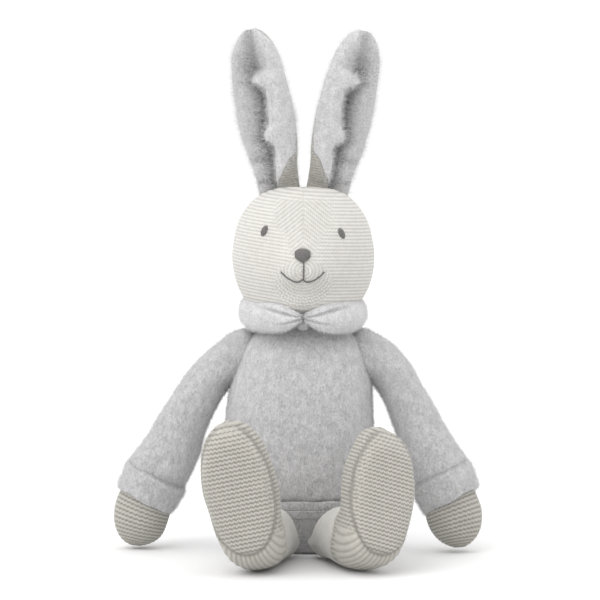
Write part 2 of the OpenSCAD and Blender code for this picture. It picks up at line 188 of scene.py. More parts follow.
def mesh_object(name, grids, material, relief=None):
    """One mesh from grids of rings, joined along the grid and capped at both ends by a fan."""
    verts, faces, heights = [], [], []
    start = 0
    for g, grid in enumerate(grids):
        m, n = grid.shape[:2]
        k, i = np.meshgrid(np.arange(m - 1), np.arange(n), indexing="ij")
        j = (i + 1) % n
        quads = np.stack([k * n + i, k * n + j, (k + 1) * n + j, (k + 1) * n + i], -1)
        faces.append(quads.reshape(-1, 4) + start)
        ends = [grid[0].mean(0), grid[-1].mean(0)]
        verts.append(np.concatenate([grid.reshape(-1, 3), ends]))
        level = np.ones((m, n)) if relief is None else relief[g] + np.zeros((m, n))
        heights.append(np.concatenate([level.reshape(-1), [level[0].mean(), level[-1].mean()]]))
        first, last = start + m * n, start + m * n + 1
        a = np.arange(n)
        b = (a + 1) % n
        low = np.stack([np.full(n, first), b + start, a + start], -1)
        high = np.stack([np.full(n, last), (m - 1) * n + a + start, (m - 1) * n + b + start], -1)
        faces.append(np.concatenate([low, high]))
        start += m * n + 2
    mesh = bpy.data.meshes.new(name)
    co = np.concatenate(verts) * MM
    loops = np.concatenate([f.reshape(-1) for f in faces])
    sizes = np.concatenate([np.full(len(f), f.shape[1]) for f in faces])
    mesh.vertices.add(len(co))
    mesh.vertices.foreach_set("co", co.astype(np.float32).ravel())
    mesh.loops.add(len(loops))
    mesh.loops.foreach_set("vertex_index", loops.astype(np.int32))
    mesh.polygons.add(len(sizes))
    mesh.polygons.foreach_set("loop_start", (np.cumsum(sizes) - sizes).astype(np.int32))
    mesh.polygons.foreach_set("use_smooth", np.ones(len(sizes), bool))
    mesh.update(calc_edges=True)
    attribute = mesh.attributes.new("relief", "FLOAT", "POINT")
    attribute.data.foreach_set("value", np.concatenate(heights).astype(np.float32))
    make_outward(mesh)
    mesh.materials.append(material)
    obj = bpy.data.objects.new(name, mesh)
    bpy.context.scene.collection.objects.link(obj)
    return obj


def make_outward(mesh):
    """Turns the faces outward, if the mesh's signed volume is negative."""
    mesh.calc_loop_triangles()
    co = np.zeros(len(mesh.vertices) * 3)
    mesh.vertices.foreach_get("co", co)
    co = co.reshape(-1, 3)
    tri = np.zeros(len(mesh.loop_triangles) * 3, np.int32)
    mesh.loop_triangles.foreach_get("vertices", tri)
    tri = tri.reshape(-1, 3)
    volume = np.sum(co[tri[:, 0]] * np.cross(co[tri[:, 1]], co[tri[:, 2]]))
    if volume < 0:
        mesh.flip_normals()


# ---- materials


WHITE = (1.0, 1.0, 1.0)


def new_material(name, roughness, sheen, sheen_tint=(1, 1, 1)):
    """Fabric with a soft sheen: the material, its node tree and its shader."""
    material = bpy.data.materials.new(name)
    material.use_nodes = True
    shader = material.node_tree.nodes["Principled BSDF"]
    shader.inputs["Roughness"].default_value = roughness
    shader.inputs["Sheen Weight"].default_value = sheen
    shader.inputs["Sheen Roughness"].default_value = 0.5
    shader.inputs["Sheen Tint"].default_value = (*sheen_tint, 1)
    shader.inputs["Specular IOR Level"].default_value = 0.15
    return material, material.node_tree, shader


def add(tree, kind, **inputs):
    """New node with the inputs given by name."""
    node = tree.nodes.new(kind)
    for key, given in inputs.items():
        node.inputs[key.replace("_", " ")].default_value = given
    return node


def object_noise(tree, scale, detail=2.0, upright=1.0):
    """Noise fixed to the object; with upright below 1 its spots are drawn out up and down."""
    place = tree.nodes.new("ShaderNodeTexCoord").outputs["Object"]
    if upright != 1.0:
        drawn = tree.nodes.new("ShaderNodeVectorMath")
        drawn.operation = "MULTIPLY"
        drawn.inputs[1].default_value = (1, 1, upright)
        tree.links.new(place, drawn.inputs[0])
        place = drawn.outputs[0]
    texture = add(tree, "ShaderNodeTexNoise", Scale=scale, Detail=detail, Roughness=0.6)
    tree.links.new(place, texture.inputs["Vector"])
    return texture.outputs["Fac"]


def ramp(tree, source, stops):
    """Colour ramp over a value: stops are (place, colour)."""
    node = tree.nodes.new("ShaderNodeValToRGB")
    elements = node.color_ramp.elements
    while len(elements) < len(stops):
        elements.new(0.5)
    for element, (place, colour) in zip(elements, stops):
        element.position = place
        element.color = (*colour, 1)
    tree.links.new(source, node.inputs["Fac"])
    return node.outputs["Color"]


def multiply(tree, a, b, factor=1.0):
    """Product of two colours."""
    node = tree.nodes.new("ShaderNodeMix")
    node.data_type = "RGBA"
    node.blend_type = "MULTIPLY"
    node.inputs["Factor"].default_value = factor
    tree.links.new(a, node.inputs[6])
    tree.links.new(b, node.inputs[7])
    return node.outputs[2]


def shade(colour, share):
    """A share of a colour's brightness."""
    return tuple(c * share for c in colour)


def bumps(tree, shader, sources):
    """Chain of bump nodes: (height output, distance in metres, strength)."""
    before = None
    for height, distance, strength in sources:
        node = add(tree, "ShaderNodeBump", Strength=strength, Distance=distance)
        tree.links.new(height, node.inputs["Height"])
        if before is not None:
            tree.links.new(before, node.inputs["Normal"])
        before = node.outputs["Normal"]
    tree.links.new(before, shader.inputs["Normal"])


def relief_of(tree):
    """The height and shade written on each piece's points, from 0 in a hollow to 1 on top."""
    node = tree.nodes.new("ShaderNodeAttribute")
    node.attribute_name = "relief"
    return node.outputs["Fac"]


def knit_material(name, colour, valley_shade):
    """Knitted yarn: painted shade between the ridges, a little mottled, with fine fibres."""
    material, tree, shader = new_material(name, 0.92, 0.2)
    # painted shade: the colour darkens toward the hollows between the ridges
    stops = [(0.0, shade(colour, valley_shade)), (0.4, shade(colour, 0.5 + valley_shade / 2)), (0.85, colour)]
    body = ramp(tree, relief_of(tree), stops)
    mottle = ramp(tree, object_noise(tree, 300.0), [(0.3, (0.9, 0.9, 0.89)), (0.7, WHITE)])
    tree.links.new(multiply(tree, body, mottle), shader.inputs["Base Color"])
    bumps(tree, shader, [(object_noise(tree, 2600.0, 4.0), 0.0003, 0.5)])
    return material


def plush_material(name, colour, dark, hollow, upright):
    """Short pile: patches where the pile lies another way, a fine nap, and painted shade in the hollows."""
    material, tree, shader = new_material(name, 0.95, 0.3)
    # painted shade: darker where the relief is low
    hollows = ramp(tree, relief_of(tree), [(0.0, shade(colour, hollow)), (1.0, colour)])
    patches = ramp(
        tree, object_noise(tree, 260.0, 4.0, upright), [(0.36, (dark,) * 3), (0.64, WHITE)]
    )
    nap = ramp(
        tree, object_noise(tree, 1100.0, 4.0, upright), [(0.34, (0.7, 0.7, 0.7)), (0.6, WHITE)]
    )
    tree.links.new(multiply(tree, multiply(tree, hollows, patches), nap), shader.inputs["Base Color"])
    tufts = object_noise(tree, 420.0, 3.0, upright)
    fibres = object_noise(tree, 1300.0, 3.0, upright)
    bumps(tree, shader, [(tufts, 0.0012, 0.8), (fibres, 0.0006, 0.8)])
    return material


def fuzz_material(name, colour):
    """Loose fibre ends, a little brighter than the pile they stand on: painted light for the pale glow of
    the fuzz.
    """
    material, tree, shader = new_material(name, 0.9, 0.0)
    shades = ramp(tree, object_noise(tree, 900.0), [(0.3, shade(colour, 0.9)), (0.7, colour)])
    tree.links.new(shades, shader.inputs["Base Color"])
    return material


def thread_material(name, colour):
    """Embroidery thread, a little glossier than the knit."""
    material, tree, shader = new_material(name, 0.6, 0.3)
    shades = ramp(tree, object_noise(tree, 1200.0), [(0.3, shade(colour, 0.75)), (0.7, colour)])
    tree.links.new(shades, shader.inputs["Base Color"])
    bumps(tree, shader, [(object_noise(tree, 3000.0), 0.0002, 0.5)])
    return material


def plain_material(name, colour):
    """One even colour."""
    material, _, shader = new_material(name, 0.9, 0.0)
    shader.inputs["Base Color"].default_value = (*colour, 1)
    return material


VELOUR = plush_material("velour", (0.54, 0.535, 0.54), 0.82, 0.45, 0.55)
PLUSH = plush_material("plush", (0.68, 0.675, 0.68), 0.86, 0.4, 0.7)
# The fuzz colours are lighter than their pile's: painted light for the pale glow at fuzzy edges.
VELOUR_FUZZ = fuzz_material("velour fuzz", (0.62, 0.615, 0.62))
PLUSH_FUZZ = fuzz_material("plush fuzz", (0.74, 0.735, 0.74))
CREAM = knit_material("cream knit", (0.64, 0.622, 0.59), 0.62)
OATMEAL = knit_material("oatmeal knit", (0.44, 0.423, 0.383), 0.42)
THREAD = thread_material("taupe thread", (0.15, 0.142, 0.138))
FLOOR = plain_material("floor", (0.76, 0.76, 0.76))


# Fuzz on each piece: how many fibres, and their length in millimetres
FUZZ = {
    "torso": (42000, 1.3), "hem": (6000, 1.2), "seat": (9000, 1.2), "collar": (12000, 1.4),
    "sleeve": (24000, 1.5), "cuff": (9000, 1.6), "ear": (24000, 2.7),
}


def fur(obj, piece, material, seed):
    """Soft fuzz of a pile's loose fibre ends."""
    count, length = FUZZ[piece]
    obj.data.materials.append(material)
    obj.modifiers.new("fuzz", "PARTICLE_SYSTEM")
    system = obj.particle_systems[-1]
    system.seed = seed
    fuzz = system.settings
    start = length * MM / 4  # a fibre grows to four times its starting speed
    fuzz.type = "HAIR"
    fuzz.count = count
    fuzz.hair_length = length * MM
    fuzz.hair_step = 3
    fuzz.render_step = 2
    fuzz.use_advanced_hair = True
    fuzz.normal_factor = start
    fuzz.factor_random = 0.55 * start
    fuzz.brownian_factor = 0.2 * start
    fuzz.root_radius = 0.09
    fuzz.tip_radius = 0.02
    fuzz.radius_scale = MM
    fuzz.material = 2


# ---- fabric relief


def knit(rows, stitches, wave=0.12, bead=0.16):
    """Height from 0 to 1 of purl ridges that zigzag from stitch to stitch; both places are counts."""
    number = np.floor(rows + 0.5)
    shift = 0.13 * number
    zigzag = 2 / math.pi * np.arcsin(0.97 * np.sin(TAU * (stitches + shift)))
    place = rows + wave * zigzag
    ridge = 0.5 + 0.5 * np.cos(TAU * place)
    beads = 1 - bead + bead * np.cos(TAU * (stitches + shift) * 2 + math.pi * number)
    return ridge**0.55 * beads


def pile(points, depth=0.3, seed=0):
    """Clumps of a short pile, in millimetres."""
    return depth * (0.6 * noise(points, 1.9, seed) + 0.4 * noise(points, 1.0, seed + 1))


def puckers(points, depth, size, seed):
    """Soft unevenness of a stuffed cover."""
    return depth * noise(points, size, seed)


# ---- head

HEAD_Z = 184.0
HEAD_Y = -2.0
HEAD_ROW = 2.1  # distance between the knit's ridges
FLAT_P = 2.15  # how square the head is from above
# Rows of the head: height, half width, and how far it reaches to the front and to the back
HEAD_ROWS = [
    (145.3, 1, 1, 1), (145.6, 9.5, 13, 8), (147, 20.5, 24, 17), (149.5, 28.5, 29.5, 24.5),
    (153.6, 35, 32.5, 31), (160.4, 39.2, 34, 35), (168, 41.9, 36, 37.5), (175, 43.2, 37, 38.5),
    (183, 43.5, 37.5, 39), (192, 42.3, 37, 38.5), (200, 40.3, 35.5, 37), (206, 37.9, 33.5, 35),
    (211, 34.7, 31, 32.5), (215.5, 30.6, 27.5, 29), (219, 26, 23.5, 24.5),
    (221.6, 19.5, 18, 18.5), (223.2, 11.5, 11, 11), (223.9, 1, 1, 1),
]


def snout(x, z):
    """How far the snout and chin stand out at the front."""
    nose = 12.5 * bump(x, 0, 18) * bump(z, HEAD_Z - 7, 17)
    lips = 2.6 * bump(np.abs(x), 8, 8) * bump(z, HEAD_Z - 12, 8)
    chin = 6.0 * bump(x, 0, 15) * bump(z, HEAD_Z - 31, 12)
    return nose + lips + chin


def face_point(x, z, up=0.0):
    """Point on the front of the head, raised by up."""
    def depth(x, z):
        """Place on the face, from front to back."""
        w, front, _ = np.moveaxis(curve(HEAD_ROWS, z), -1, 0)
        across = np.clip(1 - (np.abs(x) / w) ** FLAT_P, 0, 1) ** (1 / FLAT_P)
        return HEAD_Y - front * across - snout(x, z) * across**0.5
    x, z = np.asarray(x, float), np.asarray(z, float)
    y = depth(x, z)
    e = 0.2
    slope_x = (depth(x + e, z) - y) / e
    slope_z = (depth(x, z + e) - y) / e
    n = unit(np.stack([slope_x, -np.ones_like(y), slope_z], -1))
    return np.stack([x, y, z], -1) + n * np.asarray(up)[..., None]


def head_knit(grid):
    """The head's knit: level rows, with chevrons on the forehead and rings round the mouth."""
    x, y, z = np.moveaxis(grid, -1, 0)
    a = np.abs(x)
    front = step(-y, 8, 20)
    around = np.arctan2(y + 2, x) * 40
    slope = np.where(x < 0, -0.13, 0.05)
    level = knit((z + slope * a) / HEAD_ROW, around / 2.2, 0.12, 0.2)
    peaks = knit((z + 0.8 * a) / (1.28 * HEAD_ROW), (z - 1.25 * a) / 2.4, 0.2, 0.3)
    reach = np.hypot(x, (z - HEAD_Z + 9) * 1.1)
    rings = knit(reach / HEAD_ROW, np.arctan2(z - HEAD_Z + 9, x) * 5, 0.2, 0.3)
    wide = 8 + 9 * step(z, HEAD_Z + 4, HEAD_Z + 22)
    forehead = front * (1 - step(a, wide - 3.5, wide + 3.5)) * step(z, HEAD_Z - 1, HEAD_Z + 3)
    forehead = forehead * (1 - step(z, 214, 219))
    mouth = front * (1 - step(np.hypot(x / 17, (z - HEAD_Z + 17) / 15), 0.9, 1.1))
    relief = level * (1 - forehead) + peaks * forehead
    return relief * (1 - mouth) + rings * mouth


def head():
    """The knitted head, with its centre seam on the forehead."""
    rows = np.array(HEAD_ROWS)
    gap = np.hypot(np.diff(rows[:, 0]), np.diff(rows[:, 1]))
    length = running(gap)
    keys = np.concatenate([length[:, None], rows], 1)
    m, n = 310, 420
    z, w, ahead, behind = np.moveaxis(curve(keys, np.linspace(0, length[-1], m)), -1, 0)
    turn = np.linspace(-1, 1, n, endpoint=False)
    phi = -math.pi / 2 + math.pi * turn * (0.62 + 0.38 * np.abs(turn) ** 2.2)
    x = w[:, None] * power(np.cos(phi), FLAT_P)[None]
    side = power(np.sin(phi), FLAT_P)[None]
    z = np.repeat(z[:, None], n, 1)
    depth = np.where(side < 0, ahead[:, None], behind[:, None]) * side
    depth = depth - snout(x, z) * np.clip(-side, 0, 1) ** 0.5 * step(w, 1, 9)[:, None]
    grid = np.stack([x, HEAD_Y + depth, z], -1)
    relief = head_knit(grid)
    seam = bump(x, 0, 0.5) * step(z, HEAD_Z + 6, HEAD_Z + 12) * 0.6
    height = 0.28 * relief + puckers(grid, 0.25, 14, 3) - 0.3 * seam
    obj = mesh_object("head_cover", [displaced(grid, height)], CREAM, [relief * (1 - 0.5 * seam)])
    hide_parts("head_cover_left", "head_cover_right", "head_stuffing")
    finish_piece(obj, "head")


def finish_piece(obj, body):
    """Puts a piece on its body, when one is given."""
    if body is not None:
        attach(obj, body)


# ---- embroidery


def thread_grid(route, radius, sides=8):
    """Tube of thread along a route of points, rounded at its ends."""
    route = np.asarray(route, float)
    along = unit(np.gradient(route, axis=0))
    e1 = unit(np.cross(along, [0.2, -1.0, 0.1]))
    e2 = np.cross(along, e1)
    count = len(route)
    t = np.linspace(0, 1, count)
    size = radius * np.clip(np.minimum(t, 1 - t) * 2 * count / 3 + 0.35, 0, 1)
    a = np.arange(sides) * TAU / sides
    return route[:, None] + size[:, None, None] * (
        np.cos(a)[None, :, None] * e1[:, None] + np.sin(a)[None, :, None] * e2[:, None]
    )


def satin(x, z, half_w, half_h, tilt, count, radius, lift, shape=None):
    """Threads side by side that arch over the fabric and fill an oval or, with shape, another outline."""
    grids = []
    for k in range(count):
        f = -1 + 2 * (k + 0.5) / count
        top, bottom = (math.sqrt(1 - f * f * 0.92),) * 2 if shape is None else shape(f)
        v = np.linspace(-half_h * bottom, half_h * top, 9)
        u = np.full(9, f * half_w)
        px = x + u * math.cos(tilt) + v * math.sin(tilt)
        pz = z - u * math.sin(tilt) + v * math.cos(tilt)
        arch = lift * np.sin(np.linspace(0.12, math.pi - 0.12, 9)) ** 0.5 * (1 - 0.5 * f * f)
        grids.append(thread_grid(face_point(px, pz, arch + radius * 0.4), radius))
    return grids


def back_stitches(xs, zs, radius, length=3.0):
    """Line of overlapping stitches along a route on the face."""
    route = face_point(xs, zs)
    gaps = running(np.linalg.norm(np.diff(route, axis=0), axis=1))
    count = max(1, round(gaps[-1] / length))
    grids = []
    for k in range(count):
        t = np.linspace(gaps[-1] * max(0, k - 0.25) / count, gaps[-1] * (k + 1) / count, 8)
        px, pz = np.interp(t, gaps, xs), np.interp(t, gaps, zs)
        arch = 0.25 + 0.35 * np.sin(np.linspace(0, math.pi, 8))
        grids.append(thread_grid(face_point(px, pz, arch), radius))
    return grids


EYES = {"left": (-23.4, 198.2), "right": (22.9, 196.7)}
EYE_SIZE = (1.55, 3.5)  # half width and half height
EYE_TILT = 25
NOSE = (-0.4, HEAD_Z)
NOSE_SIZE = (4.3, 4.0)
MOUTH_Z = HEAD_Z - 15.8
MOUTH_REACH = 12.9  # half the width of the smile
MOUTH_CURL = 6.2  # how far its ends turn up


def embroidery():
    """Eyes and nose in satin stitch, and the mouth in back stitch."""
    for name, (x, z) in EYES.items():
        tilt = -SIDES[name] * math.radians(EYE_TILT)
        grids = satin(x, z, *EYE_SIZE, tilt, 7, 0.34, 0.9)
        obj = mesh_object(f"eye_stitches_{name}", grids, THREAD)
        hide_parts(f"eye_{name}")
        finish_piece(obj, "head")

    def nose_shape(f):
        """How far the nose reaches up and down, at share f of its half width."""
        return 1.0 - 0.4 * abs(f) ** 2.5, 1.1 - 0.75 * abs(f) ** 1.3

    grids = satin(*NOSE, *NOSE_SIZE, 0, 15, 0.4, 2.6, nose_shape)
    obj = mesh_object("nose_stitches", grids, THREAD)
    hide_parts("nose")
    finish_piece(obj, "head")
    f = np.linspace(-1, 1, 61)
    smile_x = MOUTH_REACH * f - 0.4
    smile_z = MOUTH_Z + MOUTH_CURL * np.abs(f) ** 2.3 + 1.8 * bump(f, 0, 0.13)
    drop = np.linspace(NOSE[1] - 3.6, MOUTH_Z + 2.2, 12)
    grids = back_stitches(smile_x, smile_z, 0.5) + back_stitches(np.full(12, 0.3), drop, 0.46, 3.4)
    obj = mesh_object("mouth_stitches", grids, THREAD)
    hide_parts("mouth")
    finish_piece(obj, "head")


# ---- torso

low, high = box_of("sweater_body", "seat_cover")
TORSO_H = high[2]
TORSO_W = high[0] - low[0]
TORSO_D = high[1] - low[1]
HEM_LOW, HEM_HIGH = (c[2] for c in box_of("hem_band"))

# Rows of the torso: height, half width and half depth as shares of the largest, and how far forward
TORSO_ROWS = [
    (0, 0.66, 0.64, 0), (0.012, 0.76, 0.72, 0), (0.05, 0.885, 0.82, 0), (0.1, 0.945, 0.88, 0),
    (0.17, 0.985, 0.95, 1), (0.235, 0.995, 0.98, 2), (0.34, 1, 1, 3), (0.47, 0.985, 0.985, 3),
    (0.6, 0.955, 0.94, 3), (0.73, 0.91, 0.87, 2), (0.82, 0.83, 0.79, 1), (0.9, 0.73, 0.68, 0),
    (0.96, 0.56, 0.56, 0), (1, 0.42, 0.46, 0),
]
TORSO_P = 2.3


def sway(z):
    """The stuffed body leans a little to -X at its middle."""
    return -2.6 * bump(z, 66, 48)


def torso_rings(z0, z1, m, n):
    """Grid of the torso's surface between two heights."""
    z = np.linspace(z0, z1, m)
    w, d, forward = np.moveaxis(curve(TORSO_ROWS, z / TORSO_H), -1, 0)
    t = np.arange(n) * TAU / n
    x = (w * TORSO_W / 2)[:, None] * power(np.cos(t), TORSO_P)[None] + sway(z)[:, None]
    y = (d * TORSO_D / 2)[:, None] * power(np.sin(t), TORSO_P)[None] - forward[:, None]
    return np.stack([x, y, np.repeat(z[:, None], n, 1)], -1)


def velour_height(grid, seed, soft=1.0):
    """Stuffed velour: wide soft lumps, small ones, and the clumps of its pile."""
    wide = puckers(grid, 0.9, 30, seed) + puckers(grid * [1, 1, 0.5], 0.5, 9, seed + 1)
    return soft * wide + pile(grid * [1, 1, 0.6], 0.4, seed + 2)


def torso():
    """The sweater, the rolled hem band below it, and the seat."""
    grid = torso_rings(HEM_HIGH - 0.5, TORSO_H, 200, 380)
    z = grid[..., 2]
    tuck = bump(z, HEM_HIGH + 0.3, 1.6)
    height = velour_height(grid, 11) - 0.8 * tuck
    drag = bump(z, HEM_HIGH, 9) * noise(grid * [1, 1, 0.2], 5, 14) * 0.5
    grid = displaced(grid, height + drag)
    # painted shade: the pile is drawn darker along the tuck above the hem
    obj = mesh_object("sweater_body_soft", [grid], VELOUR, [1 - 0.45 * tuck])
    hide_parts("sweater_body", "torso_stuffing")
    fur(obj, "torso", VELOUR_FUZZ, 11)
    finish_piece(obj, "torso")

    low, high = torso_rings(HEM_LOW, HEM_HIGH, 2, 380)
    rows = []
    for t in np.linspace(0, TAU, 33):
        up = 0.5 + 0.56 * math.sin(t)
        row = low * (1 - up) + high * up
        rows.append(row + unit((row - [0, -2, 0]) * [1, 1, 0]) * (0.3 + 0.8 * math.cos(t)))
    hem = np.array(rows)
    around = np.linspace(0, TAU, 33)[:, None]
    height = pile(hem, 0.3, 17) + puckers(hem, 0.4, 8, 18)
    hem = displaced_loop(hem, height)
    shadow = 0.8 + 0.2 * step(np.cos(around), -0.3, 0.6)
    obj = mesh_object("hem_band_soft", [hem], VELOUR, [shadow])
    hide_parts("hem_band")
    fur(obj, "hem", VELOUR_FUZZ, 12)
    finish_piece(obj, "torso")

    grid = torso_rings(0.15, HEM_LOW + 1.5, 60, 380)
    z = grid[..., 2]
    height = puckers(grid, 0.6, 14, 21) * step(z, 1, 8) + pile(grid, 0.3, 22) * step(z, 0.3, 3)
    mottle = 0.95 + 0.05 * noise(grid, 9, 23)
    obj = mesh_object("seat_soft", [displaced(grid, height)], VELOUR, [mottle])
    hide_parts("seat_cover", "pellet_bag")
    fur(obj, "seat", VELOUR_FUZZ, 13)
    finish_piece(obj, "torso")


def displaced_loop(grid, height):
    """As displaced, for a grid whose last ring repeats its first."""
    around = np.roll(grid, -1, 1) - np.roll(grid, 1, 1)
    core = grid[:-1]
    along = np.roll(core, -1, 0) - np.roll(core, 1, 0)
    along = np.concatenate([along, along[:1]], 0)
    n = unit(np.cross(around, along))
    middle = core.mean(0, keepdims=True)
    n = n if np.sum(n * (grid - middle)) > 0 else -n
    return grid + n * height[..., None]


# ---- collar

COLLAR_Z = 146.0
COLLAR_HALF = (31.5, 30.5)  # half width and half depth of the ring that it follows
# Rows of half the collar, from the knot to the back: half height and half thickness
COLLAR_ROWS = [
    (0, 1.7, 2.2), (0.03, 3.6, 3.6), (0.068, 5.9, 4.9), (0.11, 7.8, 6.2), (0.155, 8.9, 7.2),
    (0.22, 9.3, 7.6), (0.35, 9.5, 7.7), (0.6, 9.2, 7.4), (0.85, 8.4, 6.6), (1, 8.2, 6.4),
]


def collar():
    """Two puffy halves of the collar, drawn together in front by a knot."""
    for name, side in SIDES.items():
        m, n = 200, 120
        rings = []
        for t in np.linspace(0, 1, m):
            a = math.radians(-90 + side * (1.5 + 179 * t))
            high, thick = curve(COLLAR_ROWS, t)
            front = max(0, 1 - 3.4 * t)
            rise = 1.5 * float(step(t, 0.3, 0.6))
            x, y = COLLAR_HALF[0] * math.cos(a), COLLAR_HALF[1] * math.sin(a)
            c = [x, y - 2 - 6.5 * front, COLLAR_Z + rise]
            out = unit(np.array([math.cos(a) / 31.0, math.sin(a) / 30.0, 0]))
            rings.append(ring(c, out, [0, 0, 1], thick, high, 2.15, n))
        grid = np.array(rings)
        angle = (np.arange(n)[None] * TAU / n + math.pi) % TAU - math.pi
        t = np.linspace(0, 1, m)[:, None]
        line = 0.15 + 0.5 * step(t, 0.0, 0.25)
        crease = bump(angle, line, 0.14) * step(t, 0.0, 0.03) * (1 - step(t, 0.16, 0.3))
        second = bump(angle, -0.5, 0.12) * step(t, 0.0, 0.03) * (1 - step(t, 0.08, 0.2))
        gathers = 0.5 * np.sin(angle * 7 + 1.3) * (1 - step(t, 0.02, 0.1))
        pinch = 1 - step(t, 0.0, 0.05)
        height = -1.5 * crease - 1.0 * second + gathers
        height = height + puckers(grid, 1.0, 13, 31 + side) + pile(grid, 0.34, 33)
        shadow = 1 - np.clip(0.5 * crease + 0.35 * second + 0.6 * pinch, 0, 0.9)
        obj = mesh_object(f"collar_soft_{name}", [displaced(grid, height)], PLUSH, [shadow])
        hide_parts(f"collar_{name}")
        fur(obj, "collar", PLUSH_FUZZ, 31 + side)
        finish_piece(obj, "torso")
    low, high = box_of("collar_tack")
    centre = (low + high) / 2 + [-0.3, 0.8, 1.0]
    rings = []
    for x, r in ((-3.4, 1.0), (-2.8, 1.9), (-1.2, 2.3), (1.2, 2.3), (2.8, 1.9), (3.4, 1.0)):
        rings.append(ring(centre + [x, 0, 0], [0, 1, 0], [0, 0, 1], r, r * 1.3, 2, 40))
    grid = resample(rings, 30)
    knot = displaced(grid, pile(grid, 0.3, 35))
    # painted shade: the whole knot takes the plush's darker hollow colour, between the collar's halves
    obj = mesh_object("collar_knot", [knot], PLUSH, [np.full((30, 40), 0.25)])
    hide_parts("collar_tack")
    finish_piece(obj, "torso")


def neck():
    """The stuffed plug between torso and head."""
    low, high = box_of("neck_core")
    rows = ((low[2] - 6, 12.5), (low[2], 14.5), (high[2], 14.5), (high[2] + 6, 13))
    rings = [ring([0, 0, z], [1, 0, 0], [0, 1, 0], r, r, 2, 64) for z, r in rows]
    obj = mesh_object("neck_soft", [resample(rings, 12)], CREAM)
    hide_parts("neck_core")
    finish_piece(obj, "neck")


# ---- arms

SWING = {"left": 1.0, "right": 9.0}
HANG_OUT = {"left": 1.0, "right": 0.88}  # how far out each arm hangs
ARM_P = 2.12
HAND_ROW = 2.6
HAND_STITCHES = 34

# Rows of an arm: how far out, height, half width, half depth, and degrees below level it points
SLEEVE_ROWS = [
    (29, 124.5, 7, 7, 4), (32, 123.5, 12.4, 11.5, 8), (37, 121, 14.2, 13.4, 16),
    (46, 116, 13.9, 14.3, 30), (55.3, 108.3, 12.9, 14.6, 46), (64.5, 95.5, 12.9, 14.8, 57),
    (73.5, 79, 14.3, 15.2, 61), (81.2, 62, 16.6, 16.4, 61), (89.5, 49, 18.1, 17.3, 62),
    (93.6, 42.2, 18.0, 17.2, 62),
]
CUFF_ROWS = [
    (89.8, 47.0, 17.6, 16.8, 62), (90.2, 46.2, 18.8, 18, 62), (91, 44.6, 19.6, 18.8, 62),
    (92.8, 41.0, 19.9, 19.1, 62), (95.2, 36.2, 19.9, 19, 62), (97.2, 32.2, 19.4, 18.5, 62),
    (98.3, 29.9, 18.0, 17.1, 62), (98, 30.5, 16.5, 15.6, 62),
    (96, 34.4, 15.6, 14.7, 62),
]
HAND_ROWS = [
    (92, 42, 13.6, 12.8, 64), (95.2, 35, 15.4, 14.4, 66), (98.0, 28, 16.6, 15.2, 68),
    (100.3, 20.5, 16.5, 14.9, 72), (102.0, 13, 14.9, 13.2, 76), (103.1, 7.5, 11.7, 10.3, 80),
    (103.7, 4.1, 7.6, 6.8, 82), (103.9, 2.0, 2.4, 2.2, 84),
]


def arm_rings(rows, name, n):
    """Rings of a piece of the arm, swung round the armhole's axis to where the arm rests."""
    side = SIDES[name]
    joint = JOINTS[f"shoulder_{name}"]
    pivot = np.array(joint["pos_m"]) / MM * [side, 1, 1]
    axis = np.abs(np.array(joint["axis"]))
    rings = []
    for out, z, half_w, half_d, down in rows:
        x = pivot[0] + (out - pivot[0]) * (HANG_OUT[name] if out > pivot[0] else 1)
        across = [math.sin(math.radians(down)), 0, math.cos(math.radians(down))]
        rings.append(ring([x, 0, z], across, [0, 1, 0], half_w, half_d, ARM_P, n))
    v = np.array(rings) - pivot
    a = -math.radians(SWING[name])
    on_axis = axis * (v @ axis)[..., None]
    turned = v * math.cos(a) + np.cross(axis, v) * math.sin(a) + on_axis * (1 - math.cos(a))
    return (pivot + turned) * [side, 1, 1]


def arms():
    """Sleeves, turned-back cuffs and knitted hands."""
    for name, side in SIDES.items():
        body = f"arm_{name}"
        m, n = 210, 220
        grid = resample(arm_rings(SLEEVE_ROWS, name, n), m)
        along = np.linspace(0, 1, m)[:, None]
        inward = np.abs(np.arange(n)[None] * TAU / n - math.pi)
        armpit = bump(along, 0.27, 0.12) * bump(inward, 0, 0.9)
        folds = armpit * (0.9 * noise(grid, 6, 49) - 0.7)
        grid = displaced(grid, velour_height(grid, 41 + side) + folds)
        # painted shade: the pile is drawn darker in the armpit's folds
        obj = mesh_object(f"sleeve_soft_{name}", [grid], VELOUR, [1 - 0.5 * armpit])
        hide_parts(f"sleeve_{name}", f"arm_stuffing_{name}")
        fur(obj, "sleeve", VELOUR_FUZZ, 41 + side)
        finish_piece(obj, body)

        grid = resample(arm_rings(CUFF_ROWS, name, 240), 90)
        along = np.linspace(0, 1, 90)[:, None]
        height = puckers(grid, 0.9, 9, 51 + side) + pile(grid, 0.34, 53)
        shadow = 0.4 + 0.6 * step(along, 0.04, 0.16) * (1 - step(along, 0.72, 0.82))
        obj = mesh_object(f"cuff_soft_{name}", [displaced(grid, height)], VELOUR, [shadow])
        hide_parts(f"cuff_{name}")
        fur(obj, "cuff", VELOUR_FUZZ, 51 + side)
        finish_piece(obj, body)

        m, n = 170, 260
        grid = resample(arm_rings(HAND_ROWS, name, n), m)
        gap = np.linalg.norm(np.diff(grid, axis=0), axis=2).mean(1)
        length = running(gap)
        rows = np.repeat((length / HAND_ROW)[:, None], n, 1)
        stitches = np.repeat(np.arange(n)[None] * HAND_STITCHES / n, m, 0)
        relief = knit(rows, stitches, 0.14)
        height = 0.5 * relief + puckers(grid, 0.6, 9, 55 + side)
        obj = mesh_object(f"hand_soft_{name}", [displaced(grid, height)], OATMEAL, [relief])
        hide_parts(f"hand_{name}")
        finish_piece(obj, body)


# ---- legs

